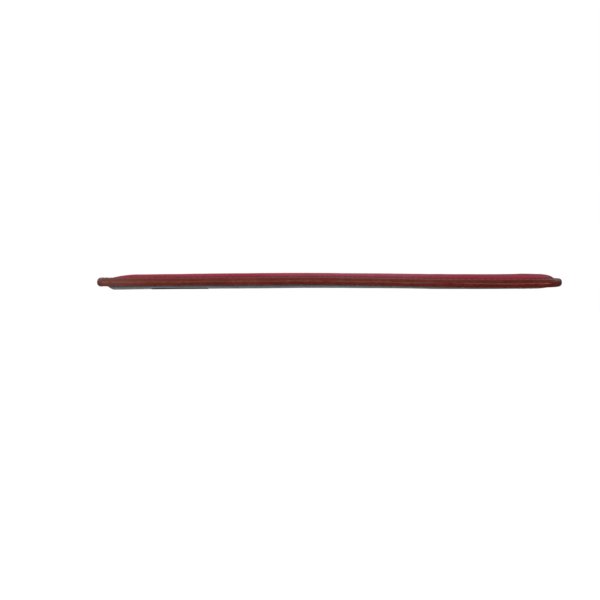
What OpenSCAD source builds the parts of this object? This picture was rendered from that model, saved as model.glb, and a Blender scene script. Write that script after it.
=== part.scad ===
// Kick paddle: a slim single-leaf striking paddle, padded on both faces.
// Frame: X runs along the paddle from the handle end (-X) to the head end (+X), Y across it, and Z out of
// the front face. The paddle lies on its rear face, whose flat plateau is the plane z = 0, and the origin
// is under the middle of its box.
// The faces and the rim keep one height along the handle and another on the head. Between taper_start and
// taper_end they change smoothly, so every height below is given twice: at the grip and at the head.

/* [Plan outline] */
// Length from the handle end to the head end
overall_length = 390; // [384:1:420]
// Width of the striking head
head_width = 190; // [170:1:196]
// Width of the handle
handle_width = 42; // [40:1:46]
// Length of the straight-sided handle
handle_length = 177; // [165:1:184]
// Corner radius of the handle end
handle_corner = 17; // [16:0.5:19]
// Angle of the straight flank between the neck and the shoulder
flare_angle = 36; // [33:1:40]
// Radius of the hollow curve at the neck
neck_radius = 50; // [40:1:60]
// Radius of the full curve at the shoulder
shoulder_radius = 98; // [80:1:105]
// Corner radius of the head end
head_corner = 34; // [28:1:40]
// Radius of the slightly bowed end edge
end_radius = 180; // [160:5:400]

/* [Thickness] */
// Overall thickness along the handle
grip_thickness = 12.9; // [12.7:0.1:14]
// Overall thickness on the head
head_thickness = 10; // [9.7:0.1:11]
// Thickness of the bound rim
rim_thickness = 6.3; // [6.2:0.1:6.6]
// Height of the rim above the rear face along the handle
rim_rise_grip = 3.1; // [2.9:0.1:3.2]
// Height of the rim above the rear face on the head
rim_rise_head = 0.8; // [0.7:0.1:1.2]
// Amount by which the front pad is thinner at the very end of the handle
end_drop = 2; // [0:0.1:2.2]
// Place along X where the thickness starts to change
taper_start = -40; // [-60:1:-20]
// Place along X where the head has its own thickness
taper_end = 156; // [140:1:170]

/* [Leather] */
// Thickness of the two covers
cover_t = 1.1; // [0.9:0.05:1.2]
// Thickness of the edge binding
binding_t = 1; // [0.8:0.05:1.1]
// Width of the binding on each face
binding_w = 7.6; // [7:0.1:8]
// Distance from the edge at which the pads reach their full height
pad_inset = 14.5; // [13.5:0.1:15]

/* [Core] */
// Thickness of the core board
core_t = 2.2; // [1.6:0.1:2.2]
// Height of the core board above the rear face
core_base = 4.2; // [4.1:0.1:4.2]
// Width of the stiffening slat
spine_w = 16; // [12:1:17]
// Thickness of the stiffening slat
spine_t = 3; // [2:0.1:3]
// Place along X where the slat ends in the head
spine_end = 40; // [20:1:50]
// Number of rivets through the slat
rivet_count = 4; // [2:1:6]
// Shank diameter of a rivet
rivet_d = 3; // [2.5:0.1:4]

/* [Label and stitching] */
// Length of the blank label patch
label_l = 48; // [30:1:60]
// Width of the blank label patch
label_w = 19; // [12:0.5:20]
// Place along X of the patch's middle
label_x = -125; // [-140:1:-90]
// Distance from the start of one binding stitch to the next
stitch_pitch = 5; // [4:0.25:8]
// Distance from the edge to the line of stitches
stitch_inset = 5.6; // [4.5:0.1:6.4]

/* [Hidden] */

half_l = overall_length / 2;
handle_half = handle_width / 2;
head_half = head_width / 2;

// Plan outline: centres of its arcs on the +Y side
handle_centre = [-half_l + handle_corner, handle_half - handle_corner];
neck_start = -half_l + handle_length;
neck_centre = [neck_start, handle_half + neck_radius];
arcs_rise = (neck_radius + shoulder_radius) * (1 - cos(flare_angle));
arcs_run = (neck_radius + shoulder_radius) * sin(flare_angle);
flank_run = (head_half - handle_half - arcs_rise) / tan(flare_angle);
shoulder_centre = [neck_start + arcs_run + flank_run, head_half - shoulder_radius];
end_angle = asin((head_half - head_corner) / (end_radius - head_corner));
end_centre = [half_l - end_radius, 0];
corner_centre = [end_centre.x + (end_radius - head_corner) * cos(end_angle), head_half - head_corner];

// Steps along each stretch of half the outline
handle_steps = 8;
arc_steps = 6;
corner_steps = 8;

// Levels of the rim's layers above the rim's own underside
welt_t = rim_thickness - 2 * binding_t - 2 * cover_t;
rear_flange = binding_t;
welt_base = rear_flange + cover_t;
front_flange = welt_base + welt_t;
welt_w = 8;
// Steps around the rounded nose of the binding
nose_steps = 8;

// Steps up the shoulder of a pad, and the one from which the foam fills it
pad_steps = 5;
foam_step = 2;

core_inset = 9.5;
core_top = core_base + core_t;
end_ramp = 50;
spine_start_gap = 20;
spine_start = -half_l + spine_start_gap;
rivet_gap = 17;
rivet_head_d = 6;
rivet_head_h = 0.8;
rivet_pocket = 0.2;
// Sides of the slat's round ends and of the rivets
spine_sides = 48;
rivet_sides = 32;

stitch_l = 3.2;
stitch_w = 0.7;
stitch_h = 0.4;
label_t = 0.6;
// Height of the block that cuts the patch out of the rear layer
label_box = 6;
label_pitch = 3;
label_margin = 1.2;
label_stitch = [1.8, 0.5, 0.3];

// ---- outline and heights ----

// Smooth change from 0 to 1 as t goes from 0 to 1
function ease(t) = let (u = min(1, max(0, t))) u * u * (3 - 2 * u);

// Height at x of a section point: [inset, height at the grip, height at the head, drop at the handle end]
function level(p, x) = p[1] + (p[2] - p[1]) * ease((x - taper_start) / (taper_end - taper_start))
    - p[3] * (1 - ease((x + half_l) / end_ramp));

// Points of an arc
function arc(centre, r, from, to, steps) = [for (i = [0 : steps]) let (a = from + (to - from) * i / steps)
    centre + r * [cos(a), sin(a)]];

// Points strictly between two ends
function between(a, b, steps) = [for (i = [1 : steps - 1]) a + (b - a) * i / steps];

// The +Y half of the outline, moved inwards by d, from the handle end to the head end
function half_outline(d) =
    let (handle = arc(handle_centre, handle_corner - d, 180, 90, arc_steps),
        neck = arc(neck_centre, neck_radius + d, 270, 270 + flare_angle, arc_steps),
        shoulder = arc(shoulder_centre, shoulder_radius - d, 90 + flare_angle, 90, arc_steps),
        corner = arc(corner_centre, head_corner - d, 90, end_angle, corner_steps),
        tip = [for (i = [1 : arc_steps]) let (a = end_angle * (1 - i / (arc_steps + 0.5)))
            end_centre + (end_radius - d) * [cos(a), sin(a)]])
    concat(handle, between(handle[arc_steps], neck[0], handle_steps), neck,
        between(neck[arc_steps], shoulder[0], arc_steps), shoulder, corner, tip);

// The whole outline, moved inwards by d: point i and the i-th from the end mirror each other in Y
function outline(d) = let (half = half_outline(d), last = len(half) - 1)
    concat(half, [for (i = [last : -1 : 0]) [half[i].x, -half[i].y]]);

// One ring of points: the outline at a section point's inset, at that point's height
function ring(p) = [for (q = outline(p[0])) [q.x, q.y, level(p, q.x)]];

// A section point that follows the rim, h above the rim's underside
function on_rim(d, h) = [d, rim_rise_grip + h, rim_rise_head + h, 0];

// ---- lofted solids ----

// Triangles between two rings of n points, the first at index a and the second at index b
function ring_band(a, b, n) = [for (i = [0 : n - 1]) let (j = (i + 1) % n)
    each [[a + i, a + j, b + j], [a + i, b + j, b + i]]];

// Triangles that close a ring of n points across Y
function ring_cap(a, n) = [for (i = [0 : n / 2 - 2])
    each [[a + i, a + i + 1, a + n - 2 - i], [a + i, a + n - 2 - i, a + n - 1 - i]]];

function flipped(faces) = [for (f = faces) [f[2], f[1], f[0]]];

// A closed band that follows the outline, with the given closed section
module rim_loop(section) {
    n = len(outline(0));
    count = len(section);
    polyhedron([for (p = section) each ring(p)],
        [for (k = [0 : count - 1]) each ring_band(k * n, ((k + 1) % count) * n, n)], convexity = 8);
}

// A panel that covers the whole outline: its upper and lower rings run from the edge inwards
module panel(upper, lower) {
    n = len(outline(0));
    up = len(upper);
    down = len(lower);
    faces = concat(
        [for (k = [0 : up - 2]) each ring_band(k * n, (k + 1) * n, n)],
        ring_cap((up - 1) * n, n),
        flipped([for (k = [0 : down - 2]) each ring_band((up + k) * n, (up + k + 1) * n, n)]),
        flipped(ring_cap((up + down - 1) * n, n)),
        flipped(ring_band(0, up * n, n)));
    polyhedron([for (p = concat(upper, lower)) each ring(p)], faces, convexity = 8);
}

// Share of a pad's height reached at step k of its shoulder, and that step's distance from the edge
function pad_share(k) = sin(90 * k / pad_steps);
function pad_place(k) = binding_w + (pad_inset - binding_w) * k / pad_steps;

// Section points of the front pad's shoulder, t below the cover's outer face
function front_shoulder(t, from = 0) = [for (k = [from : pad_steps])
    let (edge = on_rim(0, front_flange + cover_t), s = pad_share(k))
    [pad_place(k), edge[1] + (grip_thickness - edge[1]) * s - t,
        edge[2] + (head_thickness - edge[2]) * s - t, end_drop * s]];

// Section points of the rear pad's shoulder, t above the cover's outer face
function rear_shoulder(t, from = 0) = [for (k = [from : pad_steps])
    let (edge = on_rim(0, rear_flange), s = pad_share(k))
    [pad_place(k), edge[1] * (1 - s) + t, edge[2] * (1 - s) + t, 0]];

// ---- covers, foam and core ----

module front_cover() {
    color([0.5, 0.13, 0.2])
        panel(concat([on_rim(binding_t, front_flange + cover_t)], front_shoulder(0)),
            concat([on_rim(binding_t, front_flange)], front_shoulder(cover_t)));
}

// The layer of the rear side between t_out and t_in above the cover's outer face
module rear_layer(t_out, t_in) {
    panel(concat([on_rim(binding_t, rear_flange + t_in)], rear_shoulder(t_in)),
        concat([on_rim(binding_t, rear_flange + t_out)], rear_shoulder(t_out)));
}

module rear_cover() {
    color([0.38, 0.41, 0.43])
        difference() {
            rear_layer(0, cover_t);
            label_piece(-label_t);
        }
}

module front_foam() {
    top = front_shoulder(cover_t, foam_step);
    foot = [top[0][0], core_top, core_top, 0];
    color([0.85, 0.82, 0.7])
        difference() {
            panel(top, [foot]);
            spine_shape(core_top, spine_t);
            rivet_holes(rivet_head_d + 2 * rivet_pocket, core_top, spine_t + rivet_head_h + rivet_pocket);
        }
}

module rear_foam() {
    foot = rear_shoulder(cover_t, pad_steps);
    color([0.85, 0.82, 0.7])
        difference() {
            panel([[core_inset, core_base, core_base, 0]], foot);
            rivet_holes(rivet_head_d + 2 * rivet_pocket, core_base - rivet_head_h - rivet_pocket,
                rivet_head_h + rivet_pocket);
        }
}

module core_board() {
    color([0.75, 0.75, 0.72])
        difference() {
            translate([0, 0, core_base]) linear_extrude(core_t) polygon(outline(core_inset));
            rivet_holes(rivet_d, core_base, core_t);
        }
}

// ---- slat and rivets ----

// The slat's plan, with round ends, from height z up
module spine_shape(z, h) {
    ends = [spine_start + spine_w / 2, spine_end - spine_w / 2];
    translate([0, 0, z]) {
        translate([ends[0], -spine_w / 2, 0]) cube([ends[1] - ends[0], spine_w, h]);
        for (x = ends) translate([x, 0, 0]) cylinder(d = spine_w, h = h, $fn = spine_sides);
    }
}

// Round holes or shanks at every rivet's place
module rivet_holes(d, z, h) {
    first = spine_start + rivet_gap;
    last = spine_end - rivet_gap;
    for (i = [0 : rivet_count - 1])
        translate([first + (last - first) * i / (rivet_count - 1), 0, z])
            cylinder(d = d, h = h, $fn = rivet_sides);
}

module handle_spine() {
    color([0.1, 0.1, 0.11])
        difference() {
            spine_shape(core_top, spine_t);
            rivet_holes(rivet_d, core_top, spine_t);
        }
}

module spine_rivets() {
    color([0.7, 0.7, 0.72]) {
        rivet_holes(rivet_d, core_base, core_t + spine_t);
        rivet_holes(rivet_head_d, core_base - rivet_head_h, rivet_head_h);
        rivet_holes(rivet_head_d, core_top + spine_t, rivet_head_h);
    }
}

// ---- rim ----

module rim_welt() {
    color([0.25, 0.2, 0.18])
        rim_loop([on_rim(binding_t, welt_base), on_rim(binding_t, front_flange),
            on_rim(binding_t + welt_w, front_flange), on_rim(binding_t + welt_w, welt_base)]);
}

module edge_binding() {
    r = rim_thickness / 2;
    nose = [for (i = [0 : nose_steps]) let (a = 180 * i / nose_steps)
        on_rim(r - r * sin(a), r - r * cos(a))];
    slot = [on_rim(binding_w, rim_thickness - binding_t), on_rim(binding_t, rim_thickness - binding_t),
        on_rim(binding_t, binding_t), on_rim(binding_w, binding_t)];
    color([0.4, 0.16, 0.13])
        rim_loop(concat([on_rim(binding_w, 0)], nose, [on_rim(binding_w, rim_thickness)], slot));
}

// ---- stitching ----

// Running length along a closed line, as a table of [length, point number]
function run_table(line, i = 0, s = 0) = i == len(line) ? [[s, i]]
    : concat([[s, i]], run_table(line, i + 1, s + norm(line[(i + 1) % len(line)] - line[i])));

// Stitches that lie along the outline on one face of the binding, h above the rim's underside
module stitch_row(h) {
    line = outline(stitch_inset);
    n = len(line);
    table = run_table(line);
    total = table[n][0];
    count = round(total / stitch_pitch);
    for (k = [0 : count - 1]) {
        place = lookup(total * (k + 0.5) / count, table);
        i = floor(place);
        step = line[(i + 1) % n] - line[i];
        p = line[i] + step * (place - i);
        translate([p.x, p.y, level(on_rim(0, h), p.x)])
            rotate([0, 0, atan2(step.y, step.x)])
                translate([-stitch_l / 2, -stitch_w / 2, 0]) cube([stitch_l, stitch_w, stitch_h]);
    }
}

module binding_thread_front() {
    color([0.3, 0.1, 0.09]) stitch_row(rim_thickness);
}

module binding_thread_rear() {
    color([0.3, 0.1, 0.09]) stitch_row(-stitch_h);
}

// ---- label ----

// The rear layer from t_out to the patch's depth, inside the patch's plan
module label_piece(t_out) {
    intersection() {
        rear_layer(t_out, label_t);
        translate([label_x - label_l / 2, -label_w / 2, -label_box / 2])
            cube([label_l, label_w, label_box]);
    }
}

// Height of the cover's outer face on the handle, at distance d from the edge, and how steep it is there
function back_height(d) = lookup(d, [for (k = [0 : pad_steps])
    [pad_place(k), (rim_rise_grip + rear_flange) * (1 - pad_share(k))]]);
function back_slope(d) = let (reach = label_stitch.y)
    atan((back_height(d - reach) - back_height(d + reach)) / (2 * reach));

// One stitch of the patch, turned by a in plan, sunk into the rear face at x and y
module label_bar(x, y, a) {
    d = handle_half - abs(y);
    translate([x, y, back_height(d)]) rotate([sign(y) * back_slope(d), 0, 0])
        rotate([0, 0, a]) translate([0, 0, label_stitch.z / 2]) cube(label_stitch, center = true);
}

// Stitches just inside the edge of the patch
module label_stitches() {
    across = label_w / 2 - label_margin;
    along = label_l / 2 - label_margin;
    n_along = floor(2 * along / label_pitch);
    n_across = floor(2 * across / label_pitch);
    for (side = [-1, 1]) {
        for (i = [0 : n_along - 1])
            label_bar(label_x + (i - (n_along - 1) / 2) * label_pitch, side * across, 0);
        for (i = [0 : n_across - 1])
            label_bar(label_x + side * along, (i - (n_across - 1) / 2) * label_pitch, 90);
    }
}

module label_patch() {
    color([0.08, 0.08, 0.09])
        difference() {
            label_piece(0);
            label_stitches();
        }
}

module label_thread() {
    color([0.2, 0.2, 0.22]) label_stitches();
}

front_cover();
rear_cover();
front_foam();
rear_foam();
core_board();
handle_spine();
spine_rivets();
rim_welt();
edge_binding();
binding_thread_front();
binding_thread_rear();
label_patch();
label_thread();
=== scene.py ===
"""Looks of the kick paddle: leather covers over foam, a bound and stitched rim, and a blank label patch.

Everything is in metres in the row frame: X runs from the handle end to the head, and Z comes out of the
crimson front face. d is always the distance inwards from the paddle's edge.
"""
import math

import bmesh
import bpy
import numpy as np
from mathutils import Matrix, Vector
from mathutils.geometry import delaunay_2d_cdt


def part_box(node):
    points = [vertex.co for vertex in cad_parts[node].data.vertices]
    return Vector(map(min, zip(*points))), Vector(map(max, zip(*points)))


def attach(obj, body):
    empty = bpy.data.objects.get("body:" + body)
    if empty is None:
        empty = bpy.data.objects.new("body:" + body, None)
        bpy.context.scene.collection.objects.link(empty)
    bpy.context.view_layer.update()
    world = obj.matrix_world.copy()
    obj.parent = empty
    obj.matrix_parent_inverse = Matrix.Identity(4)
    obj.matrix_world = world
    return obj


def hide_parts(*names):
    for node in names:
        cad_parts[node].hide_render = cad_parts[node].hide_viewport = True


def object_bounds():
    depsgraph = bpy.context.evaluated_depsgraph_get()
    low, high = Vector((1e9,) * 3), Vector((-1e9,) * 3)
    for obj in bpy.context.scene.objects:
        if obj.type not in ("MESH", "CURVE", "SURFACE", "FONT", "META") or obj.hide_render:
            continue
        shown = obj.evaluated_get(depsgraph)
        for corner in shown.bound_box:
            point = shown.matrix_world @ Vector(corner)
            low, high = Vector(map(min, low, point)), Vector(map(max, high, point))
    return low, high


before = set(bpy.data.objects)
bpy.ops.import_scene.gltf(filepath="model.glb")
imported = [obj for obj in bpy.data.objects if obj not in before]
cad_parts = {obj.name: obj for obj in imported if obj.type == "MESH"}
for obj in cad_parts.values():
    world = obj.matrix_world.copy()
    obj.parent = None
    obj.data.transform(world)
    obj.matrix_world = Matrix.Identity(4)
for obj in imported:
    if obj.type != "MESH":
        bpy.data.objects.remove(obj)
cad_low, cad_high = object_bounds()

BODY = "root"
MM = 0.001

# ---- the driving dimensions of part.scad ----

HALF_LENGTH = -cad_low.x
HEAD_HALF = cad_high.y
HANDLE_HALF = 21 * MM
HANDLE_LENGTH = 177 * MM
HANDLE_CORNER = 17 * MM
FLARE_ANGLE = math.radians(36)
NECK_RADIUS = 50 * MM
SHOULDER_RADIUS = 98 * MM
HEAD_CORNER = 34 * MM
END_RADIUS = 180 * MM

GRIP_TOP = cad_high.z
HEAD_TOP = 10 * MM
RIM_T = 6.3 * MM
RIM_RISE_GRIP = 3.1 * MM
RIM_RISE_HEAD = 0.8 * MM
PAD_END = 10.6 * MM
TAPER_START = -40 * MM
TAPER_END = 156 * MM

COVER_T = 1.1 * MM
BINDING_T = 1.0 * MM
BINDING_W = 7.6 * MM
FRONT_FLANGE = RIM_T - BINDING_T - COVER_T
STITCH_INSET = 5.6 * MM
STITCH_PITCH = 5 * MM
SAMPLES_PER_STITCH = 10


# ---- small helpers ----

NOISE_WAVES = 7


def ease(t):
    """Smooth change from 0 to 1 as t goes from 0 to 1."""
    t = np.clip(t, 0, 1)
    return t * t * (3 - 2 * t)


def along(x, grip, head):
    """A height that is grip on the handle and head on the head."""
    return grip + (head - grip) * ease((x - TAPER_START) / (TAPER_END - TAPER_START))


def soft_noise(x, y, size, seed):
    """Smooth noise of about -1 to 1 whose bumps are about size across."""
    rng = np.random.default_rng(seed)
    total = np.zeros_like(x)
    for _ in range(NOISE_WAVES):
        angle, phase = rng.uniform(0, 2 * math.pi, 2)
        pace = rng.uniform(0.6, 1.4) * 2 * math.pi / (2 * size)
        total += np.sin((x * math.cos(angle) + y * math.sin(angle)) * pace + phase)
    return total / math.sqrt(NOISE_WAVES)


def new_object(name, points, faces):
    """A smooth mesh object made of points and faces, with its normals pointing outwards."""
    mesh = bpy.data.meshes.new(name)
    mesh.from_pydata([tuple(p) for p in points], [], [tuple(f) for f in faces])
    mesh.validate()
    bm = bmesh.new()
    bm.from_mesh(mesh)
    bmesh.ops.recalc_face_normals(bm, faces=bm.faces)
    bm.to_mesh(mesh)
    bm.free()
    mesh.polygons.foreach_set("use_smooth", [True] * len(mesh.polygons))
    made = bpy.data.objects.new(name, mesh)
    bpy.context.scene.collection.objects.link(made)
    return made


def store(made, name, values):
    """Keeps one number for each vertex, for the materials to read."""
    attribute = made.data.attributes.new(name, "FLOAT", "POINT")
    attribute.data.foreach_set("value", np.asarray(values, dtype=np.float32))


# ---- the plan outline ----

def outline_parts():
    """The +Y half of the outline, from the middle of the handle end to the middle of the head end.

    Each part is (length at the stitch line, function of t from 0 to 1 that gives point and inward normal)."""
    neck_start = HANDLE_LENGTH - HALF_LENGTH
    radii = NECK_RADIUS + SHOULDER_RADIUS
    flank_rise = HEAD_HALF - HANDLE_HALF - radii * (1 - math.cos(FLARE_ANGLE))
    shoulder_x = neck_start + radii * math.sin(FLARE_ANGLE) + flank_rise / math.tan(FLARE_ANGLE)
    end_angle = math.asin((HEAD_HALF - HEAD_CORNER) / (END_RADIUS - HEAD_CORNER))
    end_x = HALF_LENGTH - END_RADIUS
    corner_x = end_x + (END_RADIUS - HEAD_CORNER) * math.cos(end_angle)
    quarter = math.pi / 2

    def line(a, b):
        a, b = np.array(a), np.array(b)
        length = np.linalg.norm(b - a)
        step = (b - a) / length
        normal = np.array([step[1], -step[0]])
        return length, lambda t: (a + (b - a) * t, normal)

    def arc(centre, radius, start, stop, hollow=False):
        centre = np.array(centre)
        side = 1 if hollow else -1
        length = (radius + side * STITCH_INSET) * abs(stop - start)

        def at(t):
            angle = start + (stop - start) * t
            out = np.array([math.cos(angle), math.sin(angle)])
            return centre + radius * out, side * out

        return length, at

    handle_y = HANDLE_HALF - HANDLE_CORNER
    neck = arc((neck_start, HANDLE_HALF + NECK_RADIUS), NECK_RADIUS, -quarter, FLARE_ANGLE - quarter, True)
    shoulder = arc((shoulder_x, HEAD_HALF - SHOULDER_RADIUS), SHOULDER_RADIUS, quarter + FLARE_ANGLE, quarter)
    return [
        line((-HALF_LENGTH, 0), (-HALF_LENGTH, handle_y)),
        arc((HANDLE_CORNER - HALF_LENGTH, handle_y), HANDLE_CORNER, 2 * quarter, quarter),
        line((HANDLE_CORNER - HALF_LENGTH, HANDLE_HALF), (neck_start, HANDLE_HALF)),
        neck,
        line(neck[1](1)[0], shoulder[1](0)[0]),
        shoulder,
        line((shoulder_x, HEAD_HALF), (corner_x, HEAD_HALF)),
        arc((corner_x, HEAD_HALF - HEAD_CORNER), HEAD_CORNER, quarter, end_angle),
        arc((end_x, 0), END_RADIUS, end_angle, 0),
    ]


# Points to each side over which the outline's bend is measured, and points over which it is averaged
BEND_REACH = 3
BEND_WINDOW = 31


class Outline:
    """Points round the paddle's edge, evenly spaced along the line of stitches, with their inward normals.

    phase is the place within a stitch, from 0 to 1, run the length along the stitch line, and bend the
    curvature, in 1/m."""

    def __init__(self):
        parts = outline_parts()
        half = sum(length for length, _ in parts)
        self.stitches = round(2 * half / STITCH_PITCH)
        self.count = self.stitches * SAMPLES_PER_STITCH
        self.step = 2 * half / self.count
        self.stitch_step = self.count * self.step / self.stitches
        points, normals = [], []
        for k in range(self.count // 2):
            s = (k + 0.5) * self.step
            for length, at in parts:
                if s <= length:
                    break
                s -= length
            point, normal = at(min(1, s / length))
            points.append(point)
            normals.append(normal)
        points, normals = np.array(points), np.array(normals)
        mirror = np.array([1, -1])
        self.points = np.concatenate([points, points[::-1] * mirror])
        self.normals = np.concatenate([normals, normals[::-1] * mirror])
        index = np.arange(self.count) + 0.5
        self.run = index * self.step
        self.phase = (index / SAMPLES_PER_STITCH) % 1
        turn = np.roll(self.normals, -BEND_REACH, axis=0) - np.roll(self.normals, BEND_REACH, axis=0)
        bend = np.linalg.norm(turn, axis=1) / (2 * BEND_REACH * self.step)
        wide = np.convolve(np.tile(bend, 3), np.ones(BEND_WINDOW) / BEND_WINDOW, "same")
        self.bend = wide[self.count:2 * self.count]

    def ring(self, d):
        return self.points + self.normals * np.broadcast_to(d, (self.count,))[:, None]

    def at_run(self, s, d):
        """Point and direction on the ring at inset d, at running length s."""
        ring = self.ring(d)
        i = int(math.floor(s / self.step - 0.5)) % self.count
        j = (i + 1) % self.count
        t = (s / self.step - 0.5) % 1
        point = ring[i] * (1 - t) + ring[j] * t
        direction = ring[j] - ring[i]
        return point, direction / np.linalg.norm(direction)


outline = Outline()


def rim_base(x):
    """Height of the rim's underside."""
    return along(x, RIM_RISE_GRIP, RIM_RISE_HEAD)


def rim_extra(x, side):
    """How much thicker the rim is where the strip is gathered; side is 1 for the front, -1 for the rear."""
    handle_end = 0.35 * MM * (1 - ease((x + HALF_LENGTH - 35 * MM) / (35 * MM)))
    head_end = 0.15 * MM * ease((x - 150 * MM) / (30 * MM))
    return handle_end + np.where(np.asarray(side) < 0, head_end, 0)


def stitch_dip(phase, width):
    """1 where the needle went through, falling to 0 under the stitch; width is a share of the pitch."""
    away = np.minimum(phase, 1 - phase)
    return np.exp(-(away / width) ** 2)


# ---- covers ----

# Distances in mm from the edge to a cover's rings: hidden in the seam first, then up the pad's shoulder
SEAM_RINGS = [1.0, 4.0, 6.6]
SHOULDER_RINGS = [7.1, 7.5, 7.9, 8.3, 8.8, 9.3, 9.9, 10.5, 11.2, 12.0, 12.8, 13.7, 14.7, 15.8]
GRID = 3.2 * MM
GRID_ROW = 0.866 * GRID
# Points whose distance to the edge is worked out at one go
BATCH = 500

# The front pad fades out over the handle end: quickly to most of its height, then slowly to the rest
FADE_LENGTH = 22 * MM
SLOW_FADE_SHARE = 0.12
SLOW_FADE_START, SLOW_FADE_LENGTH = 45 * MM, 50 * MM
# It is a little looser than the CAD pad, and puffed up at the head end
LOOSENESS = 0.1 * MM
HEAD_PUFF = 0.6 * MM
HEAD_PUFF_START, HEAD_PUFF_LENGTH = 162 * MM, 16 * MM
# There its shoulder is steeper too, and hangs over the binding
OVERHANG = 0.9 * MM
OVERHANG_START, OVERHANG_LENGTH = 140 * MM, 35 * MM
# The back hangs a little below the CAD face, at the handle end and from the neck on
HANDLE_SAG, HANDLE_SAG_END, HANDLE_SAG_FADE = 0.28 * MM, 20 * MM, 25 * MM
HEAD_SAG, HEAD_SAG_START, HEAD_SAG_FADE = 0.30 * MM, 40 * MM, 50 * MM


class CoverPlan:
    """Points and faces of a cover seen from above, shared by both covers."""

    def __init__(self):
        insets = [d * MM for d in SEAM_RINGS + SHOULDER_RINGS]
        n = outline.count
        rings = [outline.ring(d) for d in insets]
        self.faces = []
        for k in range(len(rings) - 1):
            for i in range(n):
                j = (i + 1) % n
                self.faces.append((k * n + i, (k + 1) * n + i, (k + 1) * n + j, k * n + j))
        self.edge_count = n
        first = (len(rings) - 1) * n
        inner = rings[-1]
        inside = self.grid_inside(inner, insets[-1])
        points, _, triangles, origins, _, _ = delaunay_2d_cdt(
            [Vector(p) for p in np.concatenate([inner, inside])], [], [list(range(n))], 1, 1e-7)
        found = [o[0] for o in origins]
        for f in triangles:
            self.faces.append(tuple(first + found[v] for v in f))
        self.xy = np.concatenate(rings + [inside])
        self.d = np.concatenate([np.full(n, d) for d in insets] + [self.edge_distance(inside)])
        repeats = len(rings)
        none = np.zeros(len(inside))
        self.phase = np.concatenate([np.tile(outline.phase, repeats), none + 0.5])
        self.run = np.concatenate([np.tile(outline.run, repeats), none])
        self.bend = np.concatenate([np.tile(outline.bend, repeats), none])

    @staticmethod
    def edge_distance(xy):
        """Distance from each point to the paddle's edge."""
        best = np.empty(len(xy))
        for start in range(0, len(xy), BATCH):
            gap = xy[start:start + BATCH, None, :] - outline.points[None, ::2, :]
            best[start:start + BATCH] = np.sqrt((gap ** 2).sum(axis=2).min(axis=1))
        return best

    def grid_inside(self, ring, inset):
        """Points of a triangular grid that lie well inside the ring."""
        low, high = ring.min(axis=0), ring.max(axis=0)
        xs = np.arange(low[0] + GRID / 2, high[0], GRID)
        ys = np.arange(-round(high[1] / GRID) * GRID, high[1], GRID_ROW)
        rows = [np.stack([xs + (r % 2) * GRID / 2, np.full(len(xs), y)], axis=1) for r, y in enumerate(ys)]
        grid = np.concatenate(rows)
        half_width = np.interp(grid[:, 0], ring[:len(ring) // 2, 0], ring[:len(ring) // 2, 1])
        rough = (np.abs(grid[:, 1]) < half_width) & (grid[:, 0] > low[0]) & (grid[:, 0] < high[0])
        grid = grid[rough]
        return grid[self.edge_distance(grid) > inset + GRID * 0.4]


plan = CoverPlan()


def shoulder_share(d, width, crown, power=0.92, start=BINDING_W - 0.35 * MM):
    """Share of a pad's height reached at d: a shoulder of the given width, then a slow crown to the middle.

    A lower power makes a fuller shoulder; crown is the share of the height that the crown takes."""
    u = np.clip((d - start) / width, 0, 1)
    shoulder = np.sin(u * math.pi / 2) ** power
    rise = 1 - np.exp(-np.maximum(d - start, 0) / (13 * MM))
    return (1 - crown) * shoulder + crown * rise


def seam_pucker():
    """How far the leather is drawn down beside the stitches, and into gathers where the edge bends."""
    beyond = np.maximum(plan.d - BINDING_W, 0)
    drawn = 0.16 * MM * stitch_dip(plan.phase, 0.22) * np.exp(-beyond / (2.2 * MM))
    gathers = np.sin(plan.run / (8.5 * MM) * 2 * math.pi + 2 * np.sin(plan.run / (31 * MM)))
    corner = np.clip((plan.bend - 12) / 40, 0, 1)
    gather = 0.11 * MM * corner * gathers * np.exp(-((beyond - 3 * MM) / (4.5 * MM)) ** 2)
    return drawn + gather


def front_surface(x, y, d):
    """Height of the front pad's outer face, without the gathers at its seam."""
    seam = rim_base(x) + FRONT_FLANGE + COVER_T
    top = along(x, GRIP_TOP, HEAD_TOP) + LOOSENESS
    top = top + HEAD_PUFF * ease((x - HEAD_PUFF_START) / HEAD_PUFF_LENGTH)
    # From nothing above the binding at PAD_END to its full height
    beyond = x + HALF_LENGTH - PAD_END
    quick = np.sin(np.clip(beyond / FADE_LENGTH, 0, 1) * math.pi / 2)
    slow = ease((beyond - SLOW_FADE_START) / SLOW_FADE_LENGTH)
    fade = (1 - SLOW_FADE_SHARE) * quick + SLOW_FADE_SHARE * slow
    rise = BINDING_T + (top - seam - BINDING_T) * fade
    head = ease((x - OVERHANG_START) / OVERHANG_LENGTH)
    puffed = shoulder_share(d, 11.5 * MM, 0.0, 0.45, BINDING_W - OVERHANG)
    share = shoulder_share(d, 7.2 * MM, 0.07) * (1 - head) + puffed * head
    give = 0.05 * MM * soft_noise(x, y, 34 * MM, 5) + 0.04 * MM * soft_noise(x, y, 13 * MM, 6)
    return seam + (rise + give) * share


def front_height():
    """Height of the front cover's outer face at every point of the plan."""
    x, y = plan.xy.T
    return front_surface(x, y, plan.d) - seam_pucker()


def rear_surface(x, y, d):
    """Height of the rear pad's outer face, without the gathers at its seam."""
    share = shoulder_share(d, 7.4 * MM, 0.0)
    give = 0.04 * MM * soft_noise(x, y, 30 * MM, 15) + 0.02 * MM * soft_noise(x, y, 11 * MM, 16)
    sag = HANDLE_SAG * (1 - ease((x + HALF_LENGTH - HANDLE_SAG_END) / HANDLE_SAG_FADE))
    sag = sag + HEAD_SAG * ease((x - HEAD_SAG_START) / HEAD_SAG_FADE)
    return (rim_base(x) + BINDING_T) * (1 - share) + (give - sag) * share


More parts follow.
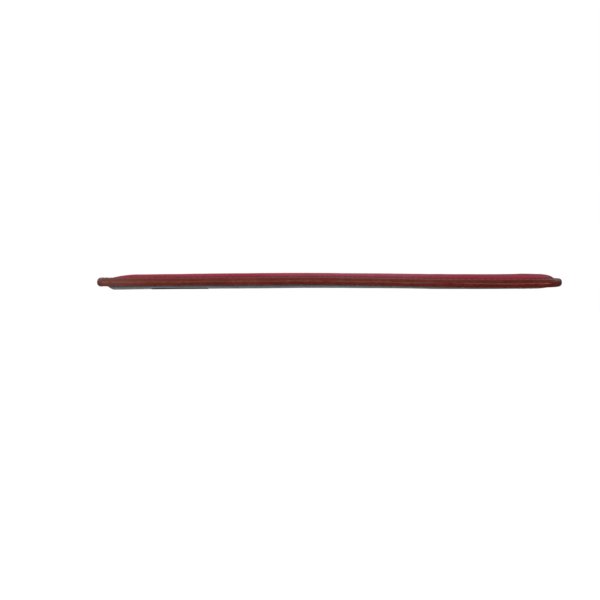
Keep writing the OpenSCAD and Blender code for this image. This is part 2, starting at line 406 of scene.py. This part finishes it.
def rear_height():
    """Height of the rear cover's outer face at every point of the plan."""
    x, y = plan.xy.T
    return rear_surface(x, y, plan.d) + seam_pucker()


def make_cover(name, node, outer, inner):
    """A leather skin with its outer and inner faces at the given heights."""
    n = plan.edge_count
    count = len(plan.xy)
    points = np.concatenate([np.column_stack([plan.xy, outer]), np.column_stack([plan.xy, inner])])
    faces = list(plan.faces)
    faces += [tuple(count + v for v in reversed(f)) for f in plan.faces]
    faces += [(i, (i + 1) % n, count + (i + 1) % n, count + i) for i in range(n)]
    made = new_object(name, points, faces)
    store(made, "edge_gap", np.tile(plan.d, 2) / MM)
    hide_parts(node)
    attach(made, BODY)
    return made


# ---- binding ----

# Section of the binding, in mm: the leg's points and rounded edge, the nose's depth and how square it is
LEG_INSETS = [6.9, 6.4, 6.0, 5.6, 5.2, 4.8, 4.2, 3.6]
EDGE_ROUND = 0.3
EDGE_STEPS = 3
NOSE_STEPS = 20
NOSE_DEPTH = 3.1
NOSE_POWER = 2.35
SLOT_MIDDLE = 4.0

FURROW = 0.22 * MM
NEEDLE_DIP = 0.16 * MM
# How much thicker the strip is where its ends lap, in the middle of the handle end
LAP = 0.32 * MM
# How far the nose is pulled in round the head end
PULLED_IN = 0.45 * MM


def binding_section():
    """Closed section of the binding, in mm: its outer line, then the slot for the flanges and the welt.

    Each point is (inset, height above the rim's underside, 1 on a leg and 0 elsewhere)."""
    top, width, t = RIM_T / MM, BINDING_W / MM, BINDING_T / MM
    upper = []
    for k in range(EDGE_STEPS + 1):
        a = math.pi / 2 * k / EDGE_STEPS
        upper.append((width - EDGE_ROUND * (1 - math.cos(a)), top - EDGE_ROUND * (1 - math.sin(a)), 1))
    upper += [(d, top, 1) for d in LEG_INSETS]
    nose = []
    half = top / 2
    power = 2 / NOSE_POWER
    for k in range(NOSE_STEPS + 1):
        a = math.pi / 2 - math.pi * k / NOSE_STEPS
        out = abs(math.cos(a)) ** power
        up = math.copysign(abs(math.sin(a)) ** power, math.sin(a))
        nose.append((NOSE_DEPTH * (1 - out), half + half * up, 0))
    lower = [(d, top - h, leg) for d, h, leg in reversed(upper)]
    floor = [(width, t, 0), (SLOT_MIDDLE, t, 0), (t, t, 0)]
    roof = [(d, top - h, leg) for d, h, leg in reversed(floor)]
    return upper + nose + lower, floor + [(t, half, 0)] + roof


def make_binding():
    """The strip round the rim, with a stitched furrow, an uneven nose and a lap joint."""
    outer, slot = binding_section()
    n = outline.count
    total = n * outline.step
    dip = stitch_dip(outline.phase, 0.16)
    signed_run = (outline.run + total / 2) % total - total / 2
    lap = LAP * ease((signed_run + 6 * MM) / (0.7 * MM)) * (1 - ease((signed_run - 3 * MM) / (5 * MM)))
    rings = []
    middle = RIM_T / 2
    for d, h, leg in outer + slot:
        d, h = d * MM, h * MM
        is_outer = len(rings) < len(outer)
        ring = outline.ring(d)
        x, y = ring.T
        side = np.sign(h - middle)
        height = np.full(n, h)
        inset = np.full(n, d)
        if is_outer:
            height += side * abs(h - middle) / middle * rim_extra(x, side)
            furrow = math.exp(-((d - STITCH_INSET) / (0.75 * MM)) ** 2)
            height -= leg * side * furrow * (FURROW + NEEDLE_DIP * dip)
            lift = leg * math.exp(-((d - BINDING_W) / (0.9 * MM)) ** 2)
            height += side * lift * (0.05 * MM - 0.10 * MM * dip)
            swell = 0.045 * MM * soft_noise(outline.run, np.full(n, h * 3), 9 * MM, 31)
            swell += 0.03 * MM * soft_noise(outline.run, np.full(n, h * 6), 3.5 * MM, 32)
            out = np.clip(1 - d / (NOSE_DEPTH * MM), 0, 1)
            pulled = PULLED_IN * ease((x - 165 * MM) / (15 * MM))
            grow = swell * (0.3 + 0.7 * out) + lap
            inset = inset + (pulled - grow) * out
            height += side * (abs(h - middle) / middle) * grow * (1 - 0.5 * out)
            ring = outline.ring(inset)
            x, y = ring.T
        rings.append(np.column_stack([ring, rim_base(x) + height]))
    faces = []
    for k in range(len(rings)):
        nxt = (k + 1) % len(rings)
        for i in range(n):
            j = (i + 1) % n
            faces.append((k * n + i, k * n + j, nxt * n + j, nxt * n + i))
    made = new_object("edge_binding_strip", np.concatenate(rings), faces)
    insets = np.concatenate([np.full(n, d) for d, _, _ in outer + slot])
    store(made, "edge_gap", insets)
    made.data.set_sharp_from_angle(angle=math.radians(50))
    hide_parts("edge_binding")
    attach(made, BODY)
    return made


# ---- stitches ----

STITCH_SIDES = 8
STITCH_RINGS = 13
# How far the middle of a binding stitch lies below the top of the binding
STITCH_SUNK = 0.30 * MM


def stitch_points(centre, direction, up, length, width, height, slant):
    """Points of one twisted stitch that dives into the leather at both ends."""
    across = np.cross(up, direction)
    points = []
    for r in range(STITCH_RINGS):
        u = 2 * r / (STITCH_RINGS - 1) - 1
        place = centre + direction * u * length / 2 + across * u * slant + up * height * (0.35 - 1.5 * u ** 4)
        thin = (1 - 0.35 * u ** 4) * width / 2
        for s in range(STITCH_SIDES):
            a = 2 * math.pi * s / STITCH_SIDES
            twist = 1 + 0.13 * math.cos(2 * a - 2 * math.pi * u * length / (2.2 * MM))
            points.append(place + (across * math.cos(a) + up * math.sin(a) * 0.75) * thin * twist)
    return points


def stitch_faces(first):
    """Faces of the stitch whose points start at index first."""
    faces = []
    for r in range(STITCH_RINGS - 1):
        for s in range(STITCH_SIDES):
            t = (s + 1) % STITCH_SIDES
            a, b = first + r * STITCH_SIDES, first + (r + 1) * STITCH_SIDES
            faces.append((a + s, a + t, b + t, b + s))
    last = first + (STITCH_RINGS - 1) * STITCH_SIDES
    faces.append(tuple(first + s for s in reversed(range(STITCH_SIDES))))
    faces.append(tuple(last + s for s in range(STITCH_SIDES)))
    return faces


def make_stitches(name, node, places, length, width, height, slant, seed):
    """A row of stitches at the given (centre, direction, way out) places."""
    rng = np.random.default_rng(seed)
    points, faces = [], []
    for centre, direction, up in places:
        faces += stitch_faces(len(points))
        sway = rng.normal(0, 0.04 * MM, 2)
        size = length * (1 + rng.normal(0, 0.02))
        shifted = centre + np.array([sway[0], sway[1], 0])
        points += stitch_points(shifted, direction, up, size, width, height, slant)
    made = new_object(name, points, faces)
    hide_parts(node)
    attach(made, BODY)
    return made


def binding_row(height, way):
    """Where the stitches of one face of the binding go, height above the rim's underside; way is 1 or -1."""
    places = []
    for k in range(outline.stitches):
        point, direction = outline.at_run((k + 0.5) * outline.stitch_step, STITCH_INSET)
        z = rim_base(point[0]) + height + way * rim_extra(point[0], way)
        places.append((np.array([*point, z]), np.array([*direction, 0.0]), np.array([0.0, 0.0, way])))
    return places


# ---- label ----

LABEL_ROUND = 1.8 * MM
LABEL_STITCH_PITCH = 3 * MM
LABEL_STITCH_INSET = 1.2 * MM
# Distance in from the patch's edge and how far its face stands out of the leather there, both in mm
LABEL_EDGE = [(0.0, 0.02), (0.05, 0.10), (0.16, 0.16), (0.4, 0.20), (0.8, 0.19), (1.0, 0.12), (1.2, 0.08),
              (1.4, 0.12), (1.7, 0.19), (2.3, 0.21)]
LABEL_PROUD = 0.21
LABEL_SUNK = -0.25


def back_height(x, y):
    """Height of the rear face at a place on the straight handle."""
    return rear_surface(x, y, HANDLE_HALF - np.abs(y))


def rounded_rectangle(low, high, radius, inset):
    """Points of a rounded rectangle, moved inwards by inset, close enough together to drape."""
    r = max(radius - inset, 0.15 * MM)
    extra = max(0, inset - radius + 0.15 * MM)
    left, right = low.x + radius + extra, high.x - radius - extra
    bottom, top = low.y + radius + extra, high.y - radius - extra
    centres = [(right, top), (left, top), (left, bottom), (right, bottom)]
    corners = []
    for quarter, (x, y) in enumerate(centres):
        angles = math.pi / 2 * (quarter + np.linspace(0, 1, 7))
        corners.append(np.column_stack([x + r * np.cos(angles), y + r * np.sin(angles)]))
    points = []
    for quarter in range(4):
        corner, following = corners[quarter], corners[(quarter + 1) % 4]
        points.append(corner)
        steps = np.linspace(0, 1, 20)[1:-1, None]
        points.append(corner[-1] + (following[0] - corner[-1]) * steps)
    return np.concatenate(points)


def make_label():
    """A blank patch laid over the back of the handle, with a rounded edge and a sewn furrow."""
    low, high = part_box("label_patch")
    half_width = (high.y - low.y) / 2
    deepest = math.floor((half_width / MM - 0.3) * 2) / 2
    fill = [(d, LABEL_PROUD) for d in np.arange(3.0, deepest, 0.5)]
    face = LABEL_EDGE + fill
    underside = [(d, LABEL_SUNK) for d, _ in reversed([LABEL_EDGE[0], LABEL_EDGE[-1]] + fill)]
    rings = []
    for d, out in face + underside:
        around = rounded_rectangle(low, high, LABEL_ROUND, d * MM)
        x, y = around.T
        rings.append(np.column_stack([around, back_height(x, y) - out * MM]))
    n = len(rings[0])
    faces = []
    for k in range(len(rings)):
        nxt = (k + 1) % len(rings)
        if k == len(face) - 1:
            # The two strips left in the middle are filled instead of being joined
            faces.append(tuple(k * n + i for i in range(n)))
            faces.append(tuple(nxt * n + i for i in reversed(range(n))))
            continue
        for i in range(n):
            j = (i + 1) % n
            faces.append((k * n + i, k * n + j, nxt * n + j, nxt * n + i))
    made = new_object("blank_label_patch", np.concatenate(rings), faces)
    made.data.set_sharp_from_angle(angle=math.radians(60))
    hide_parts("label_patch")
    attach(made, BODY)
    return made


def label_row():
    """Where the stitches of the label go, as (centre, direction, way out)."""
    low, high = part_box("label_patch")
    x0, x1 = low.x + LABEL_STITCH_INSET, high.x - LABEL_STITCH_INSET
    y0, y1 = low.y + LABEL_STITCH_INSET, high.y - LABEL_STITCH_INSET
    reach = 0.2 * MM
    places = []
    for a, b in (((x0, y0), (x1, y0)), ((x1, y0), (x1, y1)), ((x1, y1), (x0, y1)), ((x0, y1), (x0, y0))):
        a, b = np.array(a), np.array(b)
        length = np.linalg.norm(b - a)
        count = int(length // LABEL_STITCH_PITCH)
        for k in range(count):
            x, y = a + (b - a) * (k + 0.5) / count
            slope = (back_height(x, y + reach) - back_height(x, y - reach)) / (2 * reach)
            out = np.array([0.0, slope, -1.0]) / math.hypot(1, slope)
            run = np.array([*(b - a), (b - a)[1] * slope])
            centre = np.array([x, y, back_height(x, y)]) + out * 0.10 * MM
            places.append((centre, run / np.linalg.norm(run), out))
    return places


# ---- foam ----

def make_foam(name, node, cover, way):
    """Foam that fills the CAD solid of the same pad, a hair smaller, pressed down by its leather cover.

    cover gives the height of the cover's outer face; way is 1 for the front and -1 for the back."""
    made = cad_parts[node].copy()
    made.data = made.data.copy()
    made.name = name
    made.parent = None
    bpy.context.scene.collection.objects.link(made)
    bm = bmesh.new()
    bm.from_mesh(made.data)
    bmesh.ops.remove_doubles(bm, verts=bm.verts, dist=1e-6)
    bm.normal_update()
    for v in bm.verts:
        v.co -= v.normal * 0.12 * MM
    xy = np.array([v.co.xy for v in bm.verts])
    limits = cover(*xy.T, plan.edge_distance(xy)) - way * (COVER_T + 0.1 * MM)
    for v, limit in zip(bm.verts, limits):
        v.co.z = min(v.co.z * way, limit * way) * way
    bm.to_mesh(made.data)
    bm.free()
    made.data.set_sharp_from_angle(angle=math.radians(35))
    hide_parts(node)
    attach(made, BODY)
    return made


# ---- materials ----

class Shader:
    """A material under construction: the principled shader, and short ways to add nodes to it."""

    def __init__(self, name, **constants):
        self.material = bpy.data.materials.new(name)
        self.material.use_nodes = True
        self.tree = self.material.node_tree
        self.shader = self.tree.nodes["Principled BSDF"]
        for socket, value in constants.items():
            self.shader.inputs[socket.replace("_", " ")].default_value = value
        self.place = self.add("ShaderNodeTexCoord").outputs["Object"]

    def add(self, kind, **settings):
        node = self.tree.nodes.new(kind)
        for key, value in settings.items():
            setattr(node, key, value)
        return node

    def link(self, source, target):
        self.tree.links.new(source, target)

    def stretched(self, x, y, z):
        """Object coordinates scaled by a different amount along each axis."""
        node = self.add("ShaderNodeMapping")
        node.inputs["Scale"].default_value = (x, y, z)
        self.link(self.place, node.inputs["Vector"])
        return node.outputs["Vector"]

    def noise(self, size, detail=3.0, rough=0.5, place=None):
        """Noise from 0 to 1 with features about size across."""
        node = self.add("ShaderNodeTexNoise")
        node.inputs["Scale"].default_value = 1 / size
        node.inputs["Detail"].default_value = detail
        node.inputs["Roughness"].default_value = rough
        self.link(place or self.place, node.inputs["Vector"])
        return node.outputs["Fac"]

    def cells(self, size, feature):
        """Cell pattern with cells about size across."""
        node = self.add("ShaderNodeTexVoronoi", feature=feature)
        node.inputs["Scale"].default_value = 1 / size
        self.link(self.place, node.inputs["Vector"])
        return node.outputs["Distance"]

    def along_x(self):
        """Position along the paddle, in metres."""
        node = self.add("ShaderNodeSeparateXYZ")
        self.link(self.place, node.inputs[0])
        return node.outputs["X"]

    def value(self, attribute):
        """A number kept for each vertex."""
        node = self.add("ShaderNodeAttribute", attribute_name=attribute)
        return node.outputs["Fac"]

    def remap(self, source, low, high, to_low=0.0, to_high=1.0):
        """Smooth change from to_low to to_high as source goes from low to high."""
        node = self.add("ShaderNodeMapRange", interpolation_type="SMOOTHSTEP")
        for name, number in (("From Min", low), ("From Max", high), ("To Min", to_low), ("To Max", to_high)):
            node.inputs[name].default_value = number
        self.link(source, node.inputs["Value"])
        return node.outputs["Result"]

    def math(self, operation, a, b):
        node = self.add("ShaderNodeMath", operation=operation)
        for socket, source in zip(node.inputs, (a, b)):
            if isinstance(source, (int, float)):
                socket.default_value = source
            else:
                self.link(source, socket)
        return node.outputs["Value"]

    def mix(self, share, a, b):
        """Colour a, going to b as share goes from 0 to 1."""
        node = self.add("ShaderNodeMix", data_type="RGBA")
        self.link(share, node.inputs["Factor"])
        for socket, source in ((node.inputs[6], a), (node.inputs[7], b)):
            if isinstance(source, tuple):
                socket.default_value = (*source, 1)
            else:
                self.link(source, socket)
        return node.outputs[2]

    def bump(self, height, distance, strength, under=None):
        """A relief of the given depth, on top of another one."""
        node = self.add("ShaderNodeBump")
        node.inputs["Distance"].default_value = distance
        node.inputs["Strength"].default_value = strength
        self.link(height, node.inputs["Height"])
        if under is not None:
            self.link(under, node.inputs["Normal"])
        return node.outputs["Normal"]

    def finish(self, colour=None, roughness=None, normal=None, specular=None):
        for name, source in (("Base Color", colour), ("Roughness", roughness), ("Normal", normal),
                             ("Specular IOR Level", specular)):
            if source is not None:
                self.link(source, self.shader.inputs[name])
        return self.material


def cover_leather(name, base, deep, pale, worn_and_sheen, roughness, specular, seam_shade, crease_shade):
    """Fine pebble-grained leather, with painted shade in its creases and beside the seam.

    It is paler at the neck, partly from wear and partly as a painted sheen, and darker and less shiny on the
    head, the darkening there being painted shade. seam_shade is the share of painted shade beside the seam,
    and crease_shade how much of the deep colour the creases take as painted shade."""
    m = Shader(name, Sheen_Weight=0.04, Sheen_Roughness=0.5)
    warp = m.noise(4 * MM, 2)
    pebbles = m.cells(1.15 * MM, "SMOOTH_F1")
    creases = m.cells(1.15 * MM, "DISTANCE_TO_EDGE")
    fine = m.noise(0.35 * MM, 4)
    cloud = m.noise(42 * MM, 4, 0.55)
    blotch = m.noise(9 * MM, 3)
    along_x = m.along_x()
    off_handle = m.remap(along_x, -70 * MM, -20 * MM)
    off_head = m.remap(along_x, 60 * MM, 100 * MM, 1.0, 0.0)
    rubbed = m.math("MULTIPLY", off_handle, off_head)
    colour = m.mix(m.remap(cloud, 0.3, 0.7), base, pale)
    # Paler at the neck: partly wear, partly a painted sheen of light glancing off the neck
    colour = m.mix(m.math("MULTIPLY", rubbed, 0.6), colour, worn_and_sheen)
    # Darker towards the head: painted shade for the light falling off there
    colour = m.mix(m.remap(along_x, 40 * MM, 120 * MM, 0.0, 0.72), colour, deep)
    colour = m.mix(m.remap(blotch, 0.35, 0.8, 0, 0.35), colour, deep)
    # Darker in the grain's creases: painted shade
    colour = m.mix(m.remap(creases, 0.0, 0.12, crease_shade, 0.0), colour, deep)
    # Painted shade beside the seam: the colour darkens towards the deep colour, then a dark line lies right
    # at the seam
    gap = m.value("edge_gap")
    colour = m.mix(m.remap(gap, 8.0, 13.5, 0.85 * seam_shade, 0.0), colour, deep)
    seam_shadow = m.math("MULTIPLY", m.remap(gap, 8.2, 10.4, seam_shade, 0.0), m.remap(blotch, 0.2, 0.8, 0.6, 1.0))
    colour = m.mix(seam_shadow, colour, (0.020, 0.012, 0.010))
    flecks = m.noise(3 * MM, 6, 0.7)
    scuff = m.math("MULTIPLY", m.remap(flecks, 0.58, 0.75), m.remap(cloud, 0.5, 0.75, 0.0, 0.3))
    colour = m.mix(scuff, colour, pale)
    rough = m.remap(blotch, 0.2, 0.8, roughness - 0.06, roughness + 0.06)
    rough = m.math("ADD", rough, m.math("MULTIPLY", scuff, 0.3))
    grain = m.bump(pebbles, 0.22 * MM, 0.55)
    grain = m.bump(m.remap(creases, 0.0, 0.2), 0.10 * MM, 0.6, grain)
    grain = m.bump(fine, 0.03 * MM, 0.5, grain)
    grain = m.bump(warp, 0.25 * MM, 0.25, grain)
    return m.finish(colour, rough, grain, m.remap(along_x, 60 * MM, 150 * MM, specular, 0.8 * specular))


def binding_leather():
    """Polished reddish-brown strip: fine pores, streaks along it, a rubbed nose; paler at the handle end as
    painted light, and darker on the head and where it tucks under the pads as painted shade.
    """
    m = Shader("binding_leather")
    base, deep, warm = (0.091, 0.0110, 0.0055), (0.060, 0.0045, 0.0020), (0.118, 0.0170, 0.0090)
    cloud = m.noise(16 * MM, 4, 0.6)
    pores = m.cells(0.55 * MM, "F1")
    streak = m.noise(2.4 * MM, 3, 0.6, m.stretched(0.12, 0.5, 1.0))
    colour = m.mix(m.remap(cloud, 0.3, 0.7), base, warm)
    colour = m.mix(m.remap(streak, 0.45, 0.75, 0.0, 0.5), colour, deep)
    along_x = m.along_x()
    # Darker towards the head: painted shade for the light falling off there
    colour = m.mix(m.remap(along_x, 70 * MM, 120 * MM, 0.0, 0.45), colour, deep)
    # Paler towards the handle end: painted light brightening the strip there
    colour = m.mix(m.remap(along_x, -185 * MM, -145 * MM, 0.38, 0.0), colour, (0.15, 0.070, 0.055))
    gap = m.value("edge_gap")
    # Darker where the leg tucks under the pad: painted shade of the seam
    colour = m.mix(m.remap(gap, 6.9, 7.5, 0.0, 0.55), colour, deep)
    patches = m.remap(m.noise(6 * MM, 5, 0.65), 0.5, 0.7, 0.0, 0.4)
    rubbed = m.math("MULTIPLY", m.remap(gap, 0.0, 1.6, 1.0, 0.0), patches)
    colour = m.mix(rubbed, colour, warm)
    rough = m.math("ADD", m.remap(cloud, 0.2, 0.8, 0.20, 0.29), m.math("MULTIPLY", rubbed, 0.15))
    rough = m.math("ADD", rough, m.remap(along_x, 80 * MM, 140 * MM, 0.0, -0.07))
    grain = m.bump(pores, 0.035 * MM, 0.5)
    grain = m.bump(streak, 0.08 * MM, 0.35, grain)
    grain = m.bump(m.noise(0.25 * MM, 3), 0.012 * MM, 0.5, grain)
    shine = m.remap(along_x, 80 * MM, 140 * MM, 0.24, 0.20)
    shine = m.math("MULTIPLY", shine, m.remap(gap, 2.0, 4.5, 1.0, 0.6))
    return m.finish(colour, rough, grain, shine)


def thread(name, base, deep):
    """Waxed twisted thread."""
    m = Shader(name, Specular_IOR_Level=0.3, Sheen_Weight=0.15, Sheen_Roughness=0.5)
    fibre = m.noise(0.16 * MM, 4, 0.6)
    patch = m.noise(11 * MM, 2)
    colour = m.mix(m.remap(fibre, 0.3, 0.7, 0.0, 0.6), base, deep)
    colour = m.mix(m.remap(patch, 0.4, 0.8, 0.0, 0.4), colour, deep)
    rough = m.remap(fibre, 0.2, 0.8, 0.5, 0.72)
    return m.finish(colour, rough, m.bump(fibre, 0.04 * MM, 0.6))


def label_leather():
    """Matt black patch leather."""
    m = Shader("label_leather", Specular_IOR_Level=0.3)
    pebbles = m.cells(0.8 * MM, "SMOOTH_F1")
    cloud = m.noise(7 * MM, 4, 0.6)
    colour = m.mix(m.remap(cloud, 0.3, 0.75), (0.010, 0.010, 0.012), (0.026, 0.025, 0.028))
    rough = m.remap(cloud, 0.3, 0.8, 0.5, 0.66)
    return m.finish(colour, rough, m.bump(pebbles, 0.08 * MM, 0.5))


def foam_material():
    """Closed-cell foam: pale, with fine pores."""
    m = Shader("foam_sheet", Specular_IOR_Level=0.2)
    pores = m.cells(0.6 * MM, "F1")
    cloud = m.noise(15 * MM, 3)
    colour = m.mix(m.remap(cloud, 0.3, 0.7), (0.72, 0.67, 0.50), (0.60, 0.55, 0.40))
    # Darker in the pores: painted shade in the pore hollows
    colour = m.mix(m.remap(pores, 0.0, 0.35, 0.5, 0.0), colour, (0.45, 0.41, 0.30))
    return m.finish(colour, m.remap(cloud, 0.2, 0.8, 0.85, 0.95), m.bump(pores, 0.2 * MM, 0.6))


def board_material():
    """Pressed board with fibres along its length."""
    m = Shader("core_board_sheet", Specular_IOR_Level=0.3)
    fibre = m.noise(1.2 * MM, 5, 0.65, m.stretched(0.25, 1.0, 1.0))
    colour = m.mix(m.remap(fibre, 0.35, 0.7), (0.55, 0.54, 0.50), (0.42, 0.41, 0.38))
    return m.finish(colour, m.remap(fibre, 0.3, 0.7, 0.6, 0.75), m.bump(fibre, 0.06 * MM, 0.6))


def slat_material():
    """Black fibre-filled plastic, drawn lengthwise."""
    m = Shader("slat_plastic", Specular_IOR_Level=0.45)
    drawn = m.noise(0.8 * MM, 4, 0.6, m.stretched(0.05, 1.0, 1.0))
    colour = m.mix(m.remap(drawn, 0.35, 0.7), (0.012, 0.012, 0.014), (0.03, 0.03, 0.033))
    return m.finish(colour, m.remap(drawn, 0.3, 0.7, 0.38, 0.52), m.bump(drawn, 0.03 * MM, 0.5))


def rivet_material():
    """Satin aluminium with fine scratches."""
    m = Shader("rivet_aluminium", Metallic=1.0)
    scratch = m.noise(0.3 * MM, 5, 0.7, m.stretched(0.2, 1.0, 1.0))
    colour = m.mix(m.remap(scratch, 0.35, 0.7), (0.62, 0.63, 0.65), (0.48, 0.49, 0.51))
    return m.finish(colour, m.remap(scratch, 0.3, 0.7, 0.28, 0.42), m.bump(scratch, 0.01 * MM, 0.5))


def welt_material():
    """Rough split leather."""
    m = Shader("welt_split", Specular_IOR_Level=0.2)
    nap = m.noise(0.5 * MM, 5, 0.7)
    colour = m.mix(m.remap(nap, 0.3, 0.7), (0.06, 0.038, 0.028), (0.11, 0.07, 0.05))
    return m.finish(colour, m.remap(nap, 0.2, 0.8, 0.82, 0.95), m.bump(nap, 0.12 * MM, 0.7))


def dress(piece, material):
    """Gives a piece its material."""
    piece.data.materials.clear()
    piece.data.materials.append(material)


def dress_node(node, material):
    """Gives a carried-over CAD node a better material."""
    for material_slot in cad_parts[node].material_slots:
        material_slot.material = material


# ---- the paddle ----

def make_covers():
    """The two leather covers over their foam."""
    crimson = cover_leather(
        "crimson_leather", base=(0.280, 0.015, 0.041), deep=(0.190, 0.007, 0.018), pale=(0.305, 0.030, 0.060),
        worn_and_sheen=(0.322, 0.076, 0.115), roughness=0.60, specular=0.12, seam_shade=0.65, crease_shade=0.6)
    slate = cover_leather(
        "slate_leather", base=(0.142, 0.158, 0.168), deep=(0.043, 0.047, 0.051), pale=(0.185, 0.205, 0.218),
        worn_and_sheen=(0.165, 0.180, 0.192), roughness=0.58, specular=0.16, seam_shade=0.95, crease_shade=0.35)
    outer = front_height()
    front = make_cover("front_leather_cover", "front_cover", outer, outer - COVER_T)
    dress(front, crimson)
    outer = rear_height()
    rear = make_cover("rear_leather_cover", "rear_cover", outer, outer + COVER_T)
    dress(rear, slate)
    return front, rear


def make_rim():
    """The binding and its two rows of stitches."""
    dress(make_binding(), binding_leather())
    rim_thread = thread("binding_thread", (0.24, 0.055, 0.043), (0.14, 0.028, 0.021))
    for name, node, height, way, seed in (
            ("front_stitches", "binding_thread_front", RIM_T - STITCH_SUNK, 1, 51),
            ("rear_stitches", "binding_thread_rear", STITCH_SUNK, -1, 52)):
        row = make_stitches(name, node, binding_row(height, way), length=3.9 * MM, width=0.74 * MM,
                            height=0.38 * MM, slant=0.16 * MM, seed=seed)
        dress(row, rim_thread)


def make_patch():
    """The label patch and its stitches."""
    dress(make_label(), label_leather())
    row = make_stitches("label_stitches", "label_thread", label_row(), length=2.4 * MM, width=0.42 * MM,
                        height=0.26 * MM, slant=0.05 * MM, seed=53)
    dress(row, thread("label_thread", (0.045, 0.045, 0.05), (0.022, 0.022, 0.025)))


def make_paddle():
    front, rear = make_covers()
    make_rim()
    make_patch()
    foam = foam_material()
    for name, node, cover, way in (("front_foam_sheet", "front_foam", front_surface, 1),
                                   ("rear_foam_sheet", "rear_foam", rear_surface, -1)):
        sheet = make_foam(name, node, cover, way)
        dress(sheet, foam)

    dress_node("core_board", board_material())
    dress_node("handle_spine", slat_material())
    dress_node("spine_rivets", rivet_material())
    dress_node("rim_welt", welt_material())


# ---- stage, lights and camera ----

FLOOR_Z = -1.3
FLOOR_SIZE = 60.0
STRIP_HEIGHT = 0.19
CAMERA_DISTANCE = 1.0
CAMERA_X = -23.8 * MM
CAMERA_Z = 19.2 * MM
CAMERA_PITCH = math.radians(1.686)
CAMERA_ROLL = math.radians(-0.383)
# 0.51 m of the paddle's middle plane fills the frame's width
FRAME_WIDTH = 0.51
SENSOR = 36.0


def make_floor():
    half = FLOOR_SIZE / 2
    corners = [(-half, -half, FLOOR_Z), (half, -half, FLOOR_Z), (half, half, FLOOR_Z), (-half, half, FLOOR_Z)]
    mesh = bpy.data.meshes.new("studio_floor")
    mesh.from_pydata(corners, [], [(0, 1, 2, 3)])
    floor = bpy.data.objects.new("studio_floor", mesh)
    bpy.context.scene.collection.objects.link(floor)
    m = Shader("pale_floor", Specular_IOR_Level=0.1, Roughness=0.9)
    m.shader.inputs["Base Color"].default_value = (0.86, 0.86, 0.86, 1)
    m.shader.inputs["Emission Color"].default_value = (1, 1, 1, 1)
    m.shader.inputs["Emission Strength"].default_value = 0.12
    mesh.materials.append(m.material)
    floor.visible_glossy = False


def add_light(name, kind, strength, rotation=(0, 0, 0), location=(0, 0, 0), mirrored=False, **settings):
    """A light; only a mirrored one makes highlights of its own."""
    data = bpy.data.lights.new(name, kind)
    data.energy = strength
    for key, value in settings.items():
        setattr(data, key, value)
    lamp = bpy.data.objects.new(name, data)
    lamp.location = location
    lamp.rotation_euler = rotation
    lamp.visible_glossy = mirrored
    bpy.context.scene.collection.objects.link(lamp)


def aimed(location):
    """Rotation that points a light from location to the paddle."""
    return (-Vector(location)).to_track_quat("-Z", "Y").to_euler()


def make_world():
    """White to the camera, a dim fill for everything else, and an upper half that the leather reflects."""
    world = bpy.data.worlds.new("studio_world")
    world.use_nodes = True
    nodes, links = world.node_tree.nodes, world.node_tree.links

    def background(colour, strength):
        node = nodes.new("ShaderNodeBackground")
        node.inputs["Color"].default_value = (*colour, 1)
        node.inputs["Strength"].default_value = strength
        return node

    def choose(share, a, b):
        node = nodes.new("ShaderNodeMixShader")
        links.new(share, node.inputs["Fac"])
        links.new(a.outputs[0], node.inputs[1])
        links.new(b.outputs[0], node.inputs[2])
        return node

    way = nodes.new("ShaderNodeSeparateXYZ")
    links.new(nodes.new("ShaderNodeTexCoord").outputs["Generated"], way.inputs[0])

    def ramp(axis, kind, low, high, to_low, to_high):
        """Change from to_low to to_high as the direction's part along the axis goes from low to high."""
        node = nodes.new("ShaderNodeMapRange")
        node.interpolation_type = kind
        numbers = (("From Min", low), ("From Max", high), ("To Min", to_low), ("To Max", to_high))
        for socket, number in numbers:
            node.inputs[socket].default_value = number
        links.new(way.outputs[axis], node.inputs["Value"])
        return node.outputs["Result"]

    # The reflections fade in just above the horizon, and get dimmer towards the head's side
    share = nodes.new("ShaderNodeMath")
    share.operation = "MULTIPLY"
    links.new(ramp("Z", "SMOOTHSTEP", -0.02, 0.16, 0, 1), share.inputs[0])
    links.new(ramp("X", "LINEAR", 0, 0.35, 1, 0.45), share.inputs[1])
    path = nodes.new("ShaderNodeLightPath")
    ground, sky = background((0.9, 0.93, 1.0), 0.03), background((1, 0.97, 0.94), 0.46)
    mirrored = choose(share.outputs["Value"], ground, sky)
    fill = choose(path.outputs["Is Glossy Ray"], background((0.93, 0.95, 1.0), 0.22), mirrored)
    whole = choose(path.outputs["Is Camera Ray"], fill, background((1, 1, 1), 1.01))
    links.new(whole.outputs[0], nodes["World Output"].inputs["Surface"])
    bpy.context.scene.world = world


def make_lights():
    """A wide soft light from above, and three low strips whose reflections run along the binding."""
    add_light("soft_sky", "SUN", 2.85, (math.radians(14), math.radians(6), 0), angle=math.radians(110))
    for name, place, strength, length in (
            ("front_strip", (0.2, -1.7, -0.025), 9.0, 2.6),
            ("left_strip", (-1.65, -0.6, -0.025), 4.2, 1.4),
            ("right_strip", (1.65, -0.6, -0.025), 4.6, 1.8)):
        add_light(name, "AREA", strength, aimed(place), place, mirrored=True,
                  shape="RECTANGLE", size=length, size_y=STRIP_HEIGHT)
    make_world()


def make_camera():
    data = bpy.data.cameras.new("camera")
    data.sensor_width = SENSOR
    data.lens = SENSOR * CAMERA_DISTANCE / FRAME_WIDTH
    data.clip_start, data.clip_end = 0.05, 100
    camera = bpy.data.objects.new("camera", data)
    turn = Matrix.Rotation(math.pi / 2 - CAMERA_PITCH, 4, "X") @ Matrix.Rotation(CAMERA_ROLL, 4, "Z")
    camera.matrix_world = Matrix.Translation((CAMERA_X, -CAMERA_DISTANCE, CAMERA_Z)) @ turn
    bpy.context.scene.collection.objects.link(camera)
    bpy.context.scene.camera = camera


make_camera()
make_paddle()
make_floor()
make_lights()
bpy.context.scene.view_settings.view_transform = "Standard"
